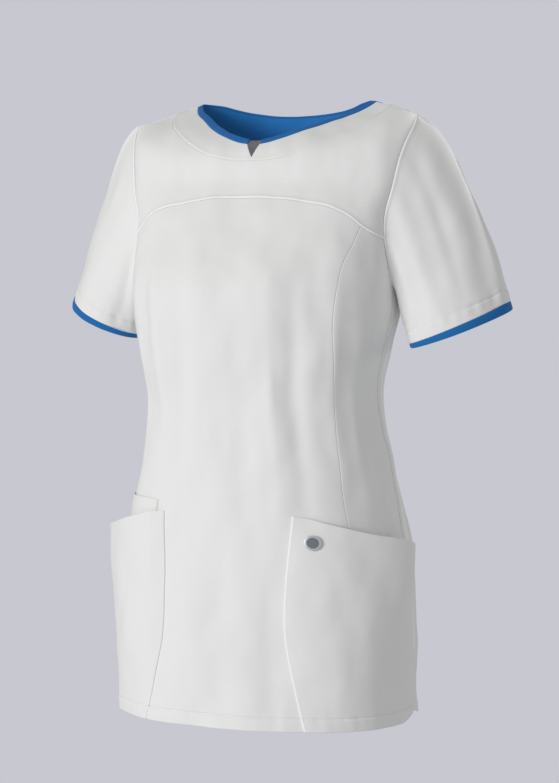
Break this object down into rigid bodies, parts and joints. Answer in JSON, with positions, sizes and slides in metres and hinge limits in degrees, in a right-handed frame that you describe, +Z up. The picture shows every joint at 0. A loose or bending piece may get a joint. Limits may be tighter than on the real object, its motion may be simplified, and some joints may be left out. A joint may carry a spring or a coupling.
{
  "type": "work tunic",
  "caption": "Short-sleeved white work tunic with a notched round neck, blue bindings, princess seams, hip pockets and side slits, in worn shape with nobody in it.",
  "frame": {"origin": "midway between the two shoulder seams at the neck, 12 mm below the seams' neck ends: where the wearer's shoulders carry it", "axes": "+Z up, the front faces -Y, +X is the wearer's left"},
  "size_m": [0.5716, 0.2591, 0.7251],
  "materials": {
    "white_cloth": "matt plain weave, white",
    "blue_cloth": "matt plain weave, bright blue",
    "badge_metal": "brushed"
  },
  "bodies": {
    "root": {"front_yoke": "white_cloth", "neck_band": "white_cloth", "front_centre": "white_cloth", "front_side_left": "white_cloth", "front_side_right": "white_cloth", "back": "white_cloth", "sleeve_left": "white_cloth", "sleeve_right": "white_cloth", "cuff_trim_left": "blue_cloth", "cuff_trim_right": "blue_cloth", "neck_trim": "blue_cloth", "back_neck_facing": "blue_cloth", "pocket_left": "white_cloth", "pocket_right": "white_cloth", "phone_pocket": "white_cloth", "pocket_badge": "badge_metal"}
  },
  "joints": []
}
